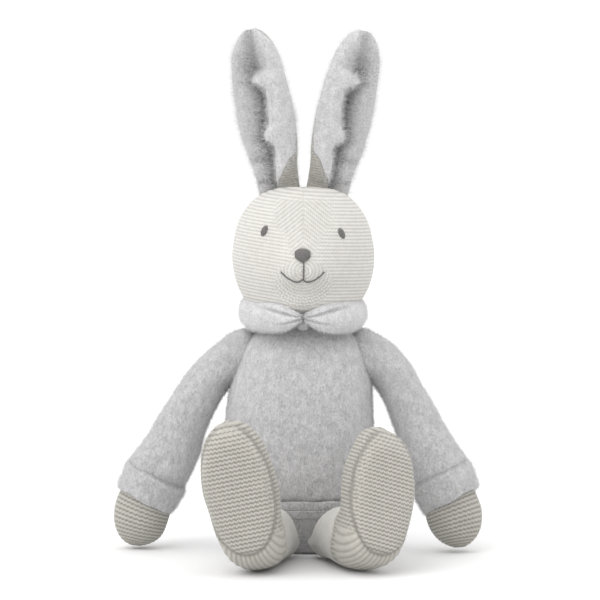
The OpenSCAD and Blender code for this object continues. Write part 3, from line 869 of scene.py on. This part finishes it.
LEG_L = 92.0
LEG_R = 17.5
ANKLE = 52.0
FOOT_H = 92.0
FOOT_W = 21.6
SOLE_T = 2.0
CREASE = np.array([LEG_L - 42, 45.0])  # middle of the bend at the front of the ankle
CREASE_R = 7.0
HEEL_REACH = 44  # from there to the heel and the sole
LEG_P = 2.3
FOOT_P = 2.4
SOLE_P = 2.2
LEG_ROW = 1.5
LEG_STITCHES = 60
LEAN = {"left": 12.5, "right": 18.0}
FOOT_TURN = {"left": 0.0, "right": 6.0}
FOOT_TILT = {"left": 0.0, "right": 24.0}  # how far each foot leans back


def leg_place(points, name):
    """Moves a leg's points (u outward, v forward from the hip, z up) to where it lies."""
    side = SIDES[name]
    joint = JOINTS[f"hip_{name}"]
    hip = np.array(joint["pos_m"]) / MM * [side, 1, 1]
    turn = math.acos(min(1, abs(joint["axis"][0])))
    u, v, z = np.moveaxis(points, -1, 0)
    a = math.radians(LEAN[name]) * np.clip((v - 10) / 30, 0, 1)
    b = math.radians(FOOT_TURN[name]) * np.clip((v - 30) / 26, 0, 1)
    tilt = math.radians(FOOT_TILT[name]) * np.clip((v - 42) / 14, 0, 1)
    rise = np.maximum(0, z - LEG_R - 0.5)
    zc = z - LEG_R - 0.5 - rise * (1 - np.cos(tilt))
    v = v - rise * np.sin(tilt)
    u, z = u * np.cos(a) + zc * np.sin(a), zc * np.cos(a) - u * np.sin(a) + LEG_R + 0.5
    w = v - ANKLE
    u, v = u * np.cos(b) + w * np.sin(b), ANKLE + w * np.cos(b) - u * np.sin(b)
    u, v = u * math.cos(turn) + v * math.sin(turn), v * math.cos(turn) - u * math.sin(turn)
    return np.stack([side * (hip[0] + u), hip[1] - v, z], -1)


def leg_ring(near, far, half_w, p, n):
    """Ring of a leg between two points (v, z) of its side view."""
    near, far = np.array(near, float), np.array(far, float)
    c, half = (near + far) / 2, (far - near) / 2
    return ring([0, *c], [1, 0, 0], [0, *half], half_w, 1, p, n)


def leg_tube_rings(n):
    """Rings of a leg from its flat hip seam to the ankle."""
    rows = [
        (0.0, 1.2, 14.5), (1.0, 2.6, 16.3), (5, 5.8, 17.2), (12, 11.2, 17.7), (22, 16, 17.5),
        (34, 17.3, 17.3),
    ]
    rings = []
    for v, half, w in rows:
        mid = max(10.0, half + 0.4)
        rings.append(leg_ring([v, mid + half], [v, mid - half], w, LEG_P, n))
    rings.append(leg_ring([CREASE[0] - 4, 37], [CREASE[0] - 4, 0.4], 17.2, LEG_P, n))
    rings.append(leg_ring([CREASE[0] + 4, 37.5], [CREASE[0] + 4, 0.6], 16.0, LEG_P, n))
    return rings


# Fan of rings round the bend of the ankle: angle, reach of the heel, half width as a share
FAN = [(2, 1.01, 0.74), (24, 1.05, 0.8), (45, 1.13, 0.86), (66, 1.09, 0.92), (86, 1.02, 0.97)]
# Rings of the foot above the ankle, as shares: height, depth of the instep, half width, reach of the sole
TOE = [
    (0.58, 0.35, 1.0, 1.02), (0.68, 0.38, 0.97, 1.01), (0.77, 0.44, 0.9, 0.99), (0.85, 0.52, 0.81, 0.94),
    (0.91, 0.62, 0.69, 0.87), (0.955, 0.74, 0.54, 0.78), (0.985, 0.87, 0.34, 0.68), (1, 1, 0.1, 0.6),
]


def foot_rings(n):
    """Rings of a foot, round the bend of the ankle and up to the toe."""
    rings = []
    for angle, reach, w in FAN:
        s, c = math.sin(math.radians(angle)), math.cos(math.radians(angle))
        near = [CREASE[0] + CREASE_R * s, CREASE[1] - CREASE_R * c]
        far = [CREASE[0] + HEEL_REACH * reach * s, max(0.4, CREASE[1] - HEEL_REACH * reach * c)]
        rings.append(leg_ring(near, far, FOOT_W * w, FOOT_P, n))
    for share, instep, w, reach in TOE:
        z = share * FOOT_H
        back = CREASE[0] + 7 + 18 * (instep - 0.3)
        ahead = max(CREASE[0] + HEEL_REACH * reach, back + 4)
        rings.append(leg_ring([back, z], [ahead, z - 2], FOOT_W * w, FOOT_P, n))
    return rings


def flat_front(grid, reach):
    """Flattens the front of the foot softly at distance reach from the hip."""
    v = grid[..., 1]
    over = v - reach
    soft = np.where(over > -2, reach - 2 + 2 * np.tanh((over + 2) / 2), v)
    return np.stack([grid[..., 0], soft, grid[..., 2]], -1)


SOLE_LOW, SOLE_HIGH = 14.0, FOOT_H - 1.6
SOLE_MID, SOLE_HALF = (SOLE_LOW + SOLE_HIGH) / 2, (SOLE_HIGH - SOLE_LOW) / 2


def sole_width(z):
    """Half width of the sole panel: it narrows towards the toe."""
    return (FOOT_W - 1.2) * (1 - 0.1 * step(z, 58, 92))


def front_of(own, u, z, cell=1.0):
    """How far forward a foot's surface is at places (u, z), read from a one-millimetre grid."""
    low = np.array([own[..., 0].min(), own[..., 2].min()]) - 2
    count = np.ceil((np.array([own[..., 0].max(), own[..., 2].max()]) + 2 - low) / cell).astype(int)
    grid = np.full(count, -1e3)
    i = ((own[..., 0] - low[0]) / cell).astype(int)
    k = ((own[..., 2] - low[1]) / cell).astype(int)
    np.maximum.at(grid, (i, k), own[..., 1])
    for _ in range(4):
        around = [np.roll(grid, way, axis) for way in (1, -1) for axis in (0, 1)]
        full = np.array(around + [grid])
        known = full > -900
        mean = np.where(known, full, 0).sum(0) / np.maximum(known.sum(0), 1)
        grid = np.where(known.any(0), mean, grid)
    x = np.clip((u - low[0]) / cell - 0.5, 0, count[0] - 1.001)
    y = np.clip((z - low[1]) / cell - 0.5, 0, count[1] - 1.001)
    i, k = x.astype(int), y.astype(int)
    x, y = x - i, y - k
    near = grid[i, k] * (1 - x) + grid[i + 1, k] * x
    far = grid[i, k + 1] * (1 - x) + grid[i + 1, k + 1] * x
    return near * (1 - y) + far * y


FOOT_ROW = 2.5  # distance between the foot's ridges
FOOT_STITCH = 2.7
FOOT_WAVE = 0.16


def foot_knit(u, z):
    """Chunky purl rows that cross the foot."""
    return knit(z / FOOT_ROW, u / FOOT_STITCH, FOOT_WAVE)


def legs():
    """Knitted legs and feet, with their soles."""
    for name, side in SIDES.items():
        body = f"leg_{name}"
        m, n = 110, 200
        own = resample(leg_tube_rings(n), m)
        grid = leg_place(own, name)
        stitches = np.repeat(np.arange(n)[None] * LEG_STITCHES / n, m, 0)
        relief = knit(own[..., 1] / LEG_ROW, stitches, 0.1)
        height = 0.22 * relief + puckers(grid, 0.5, 14, 61 + side)
        obj = mesh_object(f"leg_soft_{name}", [displaced(grid, height)], CREAM, [relief * 0.9])
        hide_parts(f"leg_cover_{name}", f"leg_stuffing_{name}")
        finish_piece(obj, body)

        m, n = 270, 320
        own = flat_front(resample(foot_rings(n), m), LEG_L - SOLE_T)
        u, v, z = np.moveaxis(own, -1, 0)
        across, up = u / sole_width(z), (z - SOLE_MID) / SOLE_HALF
        oval = (np.abs(across) ** SOLE_P + np.abs(up) ** SOLE_P) ** (1 / SOLE_P)
        turned = np.arctan2(up, across)
        band = step(v, 55, 64) * (1 - step(up, -0.86, -0.66))
        ribs = 0.5 + 0.5 * np.cos(turned * 52)
        rows_back = knit(z / FOOT_ROW, (v + np.abs(u)) / FOOT_STITCH, FOOT_WAVE)
        relief = rows_back * (1 - band) + (0.4 + 0.6 * ribs**0.7) * band
        seam = bump(oval, 1.0, 0.035) * step(v, LEG_L - 18, LEG_L - 6)
        height = 0.4 * ribs * band + 0.55 * rows_back * (1 - band) - 0.9 * seam
        height = height + puckers(own, 0.5, 15, 65 + side)
        shaped = displaced(own, height)
        grid = leg_place(shaped, name)
        obj = mesh_object(f"foot_soft_{name}", [grid], OATMEAL, [relief * (1 - 0.8 * seam)])
        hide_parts(f"foot_upper_{name}")
        finish_piece(obj, body)
        sole(name, body, own)


def sole(name, body, foot):
    """Oval sole panel: it crowns a little, and its edge is drawn into the seam."""
    m, n = 110, 380
    t = np.arange(n) * TAU / n
    share = np.concatenate([[1.0], np.linspace(1, 0.012, m - 1) ** 0.8])[:, None]
    rim = power(np.sin(t), SOLE_P)
    z = SOLE_MID + SOLE_HALF * rim[None] * share
    u = sole_width(SOLE_MID + SOLE_HALF * rim)[None] * power(np.cos(t), SOLE_P)[None] * share
    crown = 2.3 * (1 - share**6) ** 0.6
    v = np.minimum(front_of(foot, u, z), LEG_L - SOLE_T) - 0.9 + crown
    v[0] -= 2.5
    own = np.stack([u, v, z], -1)
    relief = foot_knit(u, z)
    edge = step(share, 0.94, 1.0)
    height = 0.55 * relief * (1 - 0.6 * edge) + puckers(own, 0.5, 12, 71)
    own[..., 1] += height
    shadow = relief * (1 - 0.7 * edge)
    obj = mesh_object(f"sole_soft_{name}", [leg_place(own, name)], OATMEAL, [shadow])
    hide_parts(f"sole_{name}")
    finish_piece(obj, body)


# ---- ears

EAR_L = 97.0
EAR_WIDTH = [
    (0, 25.5), (0.05, 26.2), (0.1, 27), (0.14, 28.2), (0.19, 30.2), (0.25, 32), (0.3, 33), (0.42, 34.8),
    (0.5, 34.6), (0.6, 33.2), (0.7, 31.4), (0.8, 29.2), (0.86, 26.4), (0.91, 22.4),
    (0.955, 17), (0.985, 11), (1.0, 6),
]
EAR_THICK = [(0, 0.45), (0.06, 0.8), (0.2, 1), (0.8, 0.95), (0.93, 0.75), (1, 0.3)]
# Section of a folded ear, round from its outer edge: share of the width, and depth to the front
FOLDED = [
    (1.0, -0.5), (0.96, 3.2), (0.86, 5.8), (0.74, 5.0), (0.62, 1.9), (0.52, -1.0), (0.42, -1.2),
    (0.40, 1.8), (0.49, 4.6), (0.5, 7.4), (0.36, 9.2), (0.2, 8.8), (0.07, 6.2), (0.0, 2.0),
    (0.06, -2.0), (0.25, -4.4), (0.5, -5.4), (0.75, -5.0), (0.94, -3.2),
]
# The same points where the tip opens out
OPEN = [
    (1.0, -0.5), (0.97, 2.8), (0.89, 4.6), (0.79, 3.8), (0.68, 1.9), (0.6, 1.2), (0.54, 1.2),
    (0.48, 1.6), (0.42, 2.4), (0.36, 3.4), (0.28, 4.8), (0.18, 5.4), (0.07, 4.4), (0.0, 1.0),
    (0.06, -1.8), (0.25, -3.4), (0.5, -4.2), (0.75, -3.8), (0.94, -2.6),
]
FREE_EDGE = (7, 8, 9, 10)  # the points that follow the flap's free edge
INNER_EDGE = 13  # the point on the ear's inner edge
KNIT_END = 18.75  # where the knitted back ends, at the outer edge
EAR_ROW = 1.55
EAR_STITCH = 2.6
# Where the flap's free edge is across the ear: it is drawn outward at its two tacks
FLAP = [
    (-0.05, 0.53), (0.05, 0.5), (0.14, 0.465), (0.25, 0.436), (0.268, 0.46), (0.285, 0.55), (0.31, 0.572),
    (0.328, 0.568), (0.353, 0.53), (0.385, 0.46), (0.45, 0.432), (0.58, 0.405), (0.625, 0.43), (0.65, 0.53),
    (0.668, 0.61), (0.69, 0.61), (0.71, 0.56), (0.735, 0.46), (0.78, 0.42), (1, 0.42),
]
TACKS = (0.668, 0.287)


def ear_sections(h, n):
    """Section of an ear at share h of its length: n points (across, depth, share of the width)."""
    opened = float(step(h, 0.69, 0.765))
    section = (1 - opened) * np.array(FOLDED) + opened * np.array(OPEN)
    shift = (float(value(FLAP, h)) - 0.5) * (1 - opened)
    for k in FREE_EDGE:
        section[k, 0] += shift * (1.0 if k in (8, 9) else 0.75)
    width = float(value(EAR_WIDTH, h))
    thick = float(value(EAR_THICK, h))
    closed = np.concatenate([section[-2:], section, section[:3]])
    t = np.arange(-2, len(section) + 3)
    keys = np.concatenate([t[:, None], closed], 1)
    fine = curve(keys, np.linspace(0, len(section), n, endpoint=False))
    return np.stack([(fine[:, 0] - 0.5) * width, fine[:, 1] * thick, fine[:, 0]], -1)


def knit_start(h):
    """Where the knitted back begins on the section: it comes round to the front at the ear's base."""
    wedge = 0.42 * np.clip(1 - h / 0.19, 0, 1)
    point = value([(0, INNER_EDGE + 0.1), (0.07, 12), (0.2, 11), (0.36, 10), (0.48, 9.2)], wedge)
    return point - 0.5 * (1 - step(h, 0.15, 0.45))


def ear_shadow(h, point, across):
    """Painted shade on the pile beside the flap, in the hollow of the tip and in the lobe's two creases;
    the whole outer lobe is also drawn darker.
    """
    lobe = 1 - step(point, 6.6, 7.6)
    away = np.clip((across - value(FLAP, h)) / 0.34, 0, 1)
    folded = 1 - step(h, 0.69, 0.76)
    valley_shade = (1 - away) ** 1.2 * lobe * folded
    hollow = 0.75 * (1 - step(h, 0.72, 0.95)) * step(h, 0.66, 0.74) * bump(across, 0.62, 0.2)
    hollow = hollow * (1 - step(point, 10, 12))
    creases = 0.45 * (bump(h, 0.035, 0.014) + 0.8 * bump(h, 0.178, 0.02)) * lobe
    outer = 0.34 * lobe
    return 1 - np.clip(np.maximum(valley_shade * 0.9, hollow) + creases + outer, 0, 0.92)


def ears():
    """Plush ear fronts, their knitted backs, and the stitches that hold the flap."""
    m, n = 300, 300
    tip = 0.92 + 0.08 * np.sin(np.linspace(0, math.pi / 2, 71))
    share = np.concatenate([np.linspace(-0.045, 0.92, 230), tip[1:]])
    sections = np.array([ear_sections(h, n) for h in np.maximum(share, 0)])
    across, depth, part = np.moveaxis(sections, -1, 0)
    h = np.repeat(share[:, None], n, 1)
    point = np.repeat(np.arange(n)[None] * len(FOLDED) / n, m, 0)
    curl = 2.0 * (h - 0.3) ** 2
    local = np.stack([across, -depth - curl, h * EAR_L], -1)
    lobe = 1 - step(point, 5.2, 6)
    knit_side = step(point, knit_start(h) - 0.25, knit_start(h) + 0.15) * (1 - step(point, 18.6, 18.9))
    for name, side in SIDES.items():
        joint = JOINTS[f"ear_fold_{name}"]
        base = np.array(joint["pos_m"]) / MM
        lean = math.asin(abs(joint["axis"][2]))

        def place(shape):
            """Moves an ear's own points to where the ear stands."""
            u, w, up = np.moveaxis(shape, -1, 0)
            x = base[0] + side * (u * math.cos(lean) + up * math.sin(lean))
            return np.stack([x, base[1] + w, base[2] + up * math.cos(lean) - u * math.sin(lean)], -1)

        def hold(obj):
            """Bakes the piece's placement into its mesh."""
            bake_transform(obj)

        creases = -1.8 * bump(h, 0.035, 0.018) * lobe - 1.2 * bump(h, 0.178, 0.026) * lobe
        height = creases + puckers(local, 0.9, 13, 81 + side) + pile(local, 0.36, 83 + side)
        height = height - 1.1 * knit_side
        front = displaced(local, height)
        shadow = ear_shadow(h, point, part)
        obj = mesh_object(f"ear_plush_{name}", [place(front)], PLUSH, [shadow])
        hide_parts(f"ear_front_{name}", f"ear_wadding_{name}")
        fur(obj, "ear", PLUSH_FUZZ, 81 + side)
        hold(obj)

        half = 130
        back, thin = [], []
        for i in range(m):
            first = float(knit_start(share[i])) * n / len(FOLDED)
            where = np.linspace(first, KNIT_END * n / len(FOLDED), half)
            skin = np.stack([np.interp(where, np.arange(n), local[i, :, k]) for k in range(3)], -1)
            back.append(skin)
            thin.append(where)
        back = np.array(back)
        out = normals(back, wrap=False)
        if np.sum(out * (back - local.mean(1, keepdims=True))) < 0:
            out = -out
        rows = back[..., 2] / EAR_ROW
        gap = np.linalg.norm(np.diff(back, axis=1), axis=2)
        stitches = np.concatenate([np.zeros((m, 1)), np.cumsum(gap, 1)], 1) / EAR_STITCH
        relief = knit(rows, stitches, 0.2, 0.3)
        edge = np.clip(np.minimum(np.arange(half), np.arange(half)[::-1]) / 6, 0, 1)[None]
        lift = (0.15 + 0.3 * relief) * edge - 0.5 * (1 - edge)
        outside = back + out * lift[..., None]
        inside = (back - out * 1.6)[:, ::-1]
        sheet = np.concatenate([outside, inside], 1)
        # painted shade: the inner face takes the knit's darkest valley colour all over
        relief = np.concatenate([relief, relief * 0], 1)
        obj = mesh_object(f"ear_knit_{name}", [place(sheet)], OATMEAL, [relief])
        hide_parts(f"ear_back_{name}")
        hold(obj)

        grids = []
        for tack in TACKS:
            row = front[np.argmin(np.abs(share - tack))]
            corner = row[round(8.7 * n / len(FOLDED))]
            floor = row[round(4.9 * n / len(FOLDED))]
            for k in (-1, 0, 1):
                a = corner + [-1.6, -0.5, 0.7 * k]
                b = floor + [0.4, -0.3, 1.3 * k]
                middle = (a + b) / 2 + [0.5, -1.4, 0]
                route = curve([(0, *a), (0.5, *middle), (1, *b)], np.linspace(0, 1, 9))
                grids.append(place(thread_grid(route, 0.3)))
        obj = mesh_object(f"ear_thread_{name}", grids, THREAD)
        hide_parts(f"ear_tacks_{name}")
        hold(obj)


# ---- stage, light and camera

LOOK_AT = (-0.002, 0.0, 0.154)
VIEW_WIDTH = 0.370
CAMERA_DISTANCE = 2.0
CAMERA_RISE = math.radians(4)
SENSOR = 36

SKY = 1.5
SKY_LOW = 0.68  # share of the sky's light near the horizon
KEY = 1.0
KEY_WAY = (-1.0, -1.2, 1.3)
KEY_SPREAD = 50


def stage():
    """A wide plain floor."""
    mesh = bpy.data.meshes.new("floor")
    r = 4.0
    mesh.from_pydata([(-r, -r, 0), (r, -r, 0), (r, r, 0), (-r, r, 0)], [], [(0, 1, 2, 3)])
    mesh.materials.append(FLOOR)
    floor = bpy.data.objects.new("floor", mesh)
    bpy.context.scene.collection.objects.link(floor)


def sun(name, way, strength, spread):
    """Soft sunlight from way; spread in degrees."""
    data = bpy.data.lights.new(name, "SUN")
    data.energy = strength
    data.angle = math.radians(spread)
    obj = bpy.data.objects.new(name, data)
    obj.location = way
    aim(obj, (0, 0, 0))
    bpy.context.scene.collection.objects.link(obj)


def aim(obj, target):
    """Turns an object so that its -Z looks at the target, with its Y up."""
    way = unit(np.subtract(target, obj.location))
    turn = math.atan2(-way[0], way[1])
    rise = math.asin(way[2])
    obj.rotation_euler = (math.pi / 2 + rise, 0, turn)


def light_and_camera():
    """A pale sky that is dimmer near the horizon, one soft key light, and the camera."""
    world = bpy.data.worlds.new("studio")
    bpy.context.scene.world = world
    world.use_nodes = True
    tree = world.node_tree
    place = tree.nodes.new("ShaderNodeTexCoord")
    split = tree.nodes.new("ShaderNodeSeparateXYZ")
    tree.links.new(place.outputs["Generated"], split.inputs[0])
    sky = ramp(tree, split.outputs["Z"], [(0.08, (SKY_LOW,) * 3), (0.4, (1, 1, 1))])
    tree.links.new(sky, tree.nodes["Background"].inputs["Color"])
    tree.nodes["Background"].inputs["Strength"].default_value = SKY
    sun("key", KEY_WAY, KEY, KEY_SPREAD)
    data = bpy.data.cameras.new("camera")
    data.sensor_width = SENSOR
    data.lens = SENSOR * CAMERA_DISTANCE / VIEW_WIDTH
    camera = bpy.data.objects.new("camera", data)
    camera.location = (
        LOOK_AT[0],
        LOOK_AT[1] - CAMERA_DISTANCE * math.cos(CAMERA_RISE),
        LOOK_AT[2] + CAMERA_DISTANCE * math.sin(CAMERA_RISE),
    )
    aim(camera, LOOK_AT)
    bpy.context.scene.collection.objects.link(camera)
    bpy.context.scene.camera = camera
    bpy.context.scene.view_settings.view_transform = "Standard"


head()
embroidery()
torso()
collar()
neck()
arms()
legs()
ears()
stage()
light_and_camera()
